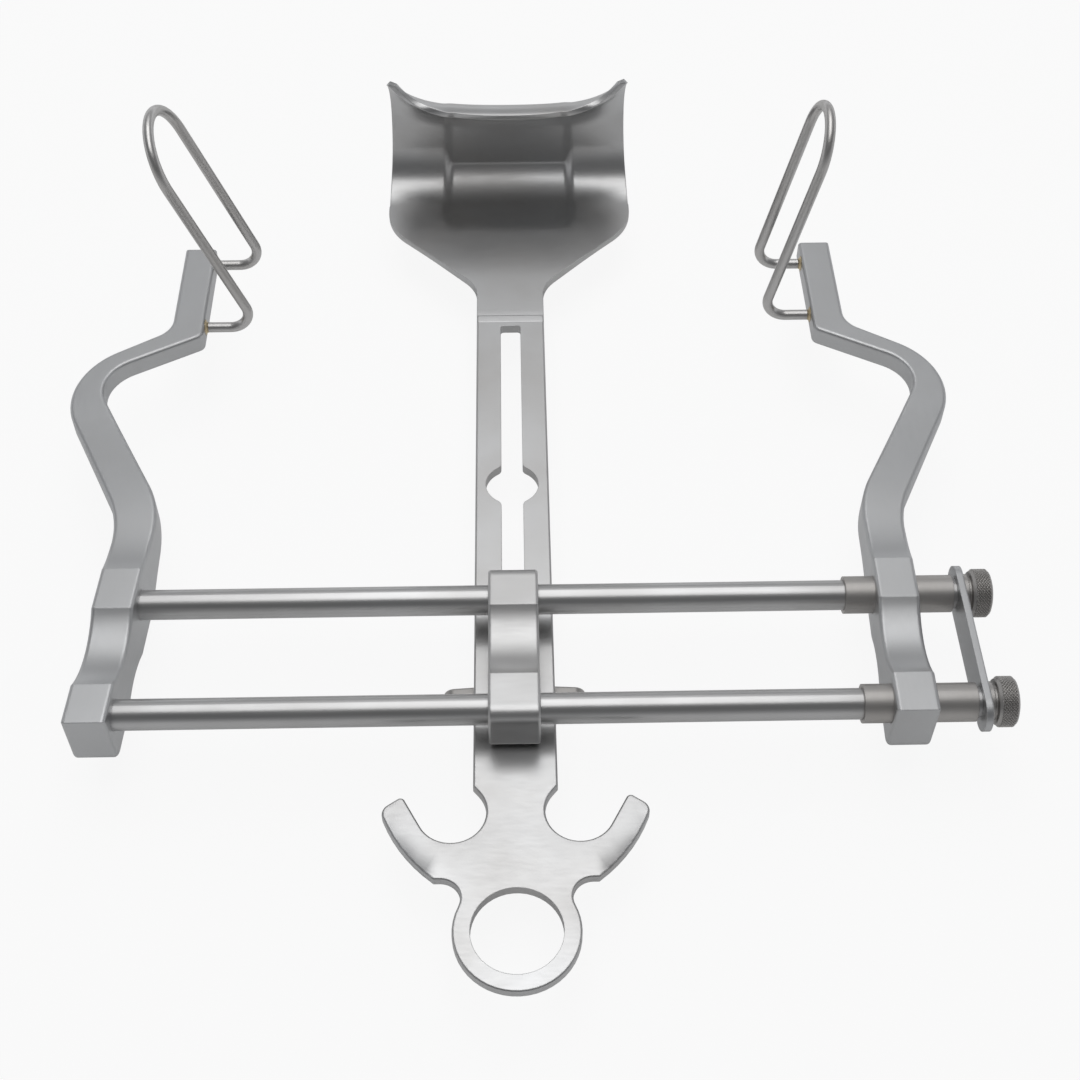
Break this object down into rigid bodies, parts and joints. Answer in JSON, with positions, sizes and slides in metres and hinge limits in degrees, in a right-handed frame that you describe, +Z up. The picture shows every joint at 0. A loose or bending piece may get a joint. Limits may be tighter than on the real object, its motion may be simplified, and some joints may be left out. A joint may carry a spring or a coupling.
{
  "type": "self retaining retractor",
  "caption": "Frame retractor: round rods, fixed and sliding arms with wire side blades, and a clamp carrying a ring-handled saddle blade.",
  "frame": {"origin": "middle of the finger ring, half way through its plate", "axes": "+Y from the finger ring along the centre blade to its saddle, +X towards the sliding arm, +Z up, the way the blades stand"},
  "size_m": [0.2573, 0.302, 0.0922],
  "materials": {
    "arm_steel": "satin",
    "clamp_steel": "satin",
    "rod_steel": "satin, turned",
    "sleeve_steel": "satin, turned",
    "wire_steel": "satin",
    "nut_steel": "satin, knurled grips",
    "blade_steel": "satin",
    "braze": "fillet of braze"
  },
  "bodies": {
    "fixed_frame": {"left_arm": "arm_steel", "rear_rod": "rod_steel", "front_rod": "rod_steel", "left_wire_blade": "wire_steel", "left_braze": "braze", "link_plate": "arm_steel"},
    "sliding_arm": {"right_arm": "arm_steel", "rear_sleeve": "sleeve_steel", "front_sleeve": "sleeve_steel", "right_wire_blade": "wire_steel", "right_braze": "braze"},
    "clamp": {"clamp_block": "clamp_steel", "clamp_stud": "rod_steel"},
    "centre_blade": {"centre_blade": "blade_steel"},
    "clamp_washer": {"clamp_washer": "nut_steel"},
    "wing_nut": {"wing_nut": "nut_steel"},
    "rear_nut_washer": {"rear_nut_washer": "nut_steel"},
    "front_nut_washer": {"front_nut_washer": "nut_steel"},
    "rear_thumb_nut": {"rear_thumb_nut": "nut_steel"},
    "front_thumb_nut": {"front_thumb_nut": "nut_steel"}
  },
  "joints": [
    {"name": "arm_slide", "type": "slide", "parent": "fixed_frame", "child": "sliding_arm", "axis": [1, 0, 0], "range_m": [-0.078, 0.0008]},
    {"name": "clamp_slide", "type": "slide", "parent": "fixed_frame", "child": "clamp", "axis": [1, 0, 0], "range_m": [-0.037, 0.037]},
    {"name": "blade_slide", "type": "slide", "parent": "clamp", "child": "centre_blade", "axis": [0, 1, 0], "range_m": [-0.128, 0]},
    {"name": "clamp_washer_slide", "type": "slide", "parent": "clamp", "child": "clamp_washer", "axis": [0, 0, 1], "range_m": [-0.002, 0]},
    {"name": "wing_nut_turn", "type": "hinge", "parent": "clamp_washer", "child": "wing_nut", "pos_m": [0, 0.0745, -0.009], "axis": [0, 0, 1], "range_deg": [-720, 0]},
    {"name": "rear_washer_slide", "type": "slide", "parent": "fixed_frame", "child": "rear_nut_washer", "axis": [1, 0, 0], "range_m": [0, 0.0024]},
    {"name": "rear_thumb_nut_turn", "type": "hinge", "parent": "rear_nut_washer", "child": "rear_thumb_nut", "pos_m": [0.124, 0.092, 0.00925], "axis": [1, 0, 0], "range_deg": [0, 1080]},
    {"name": "front_washer_slide", "type": "slide", "parent": "fixed_frame", "child": "front_nut_washer", "axis": [1, 0, 0], "range_m": [0, 0.0024]},
    {"name": "front_thumb_nut_turn", "type": "hinge", "parent": "front_nut_washer", "child": "front_thumb_nut", "pos_m": [0.124, 0.057, 0.00925], "axis": [1, 0, 0], "range_deg": [0, 1080]}
  ],
  "couplings": [
    {"joint": "clamp_washer_slide", "follows": "wing_nut_turn", "m_per_rad": 0.0001591},
    {"joint": "rear_washer_slide", "follows": "rear_thumb_nut_turn", "m_per_rad": 0.0001273},
    {"joint": "front_washer_slide", "follows": "front_thumb_nut_turn", "m_per_rad": 0.0001273}
  ]
}
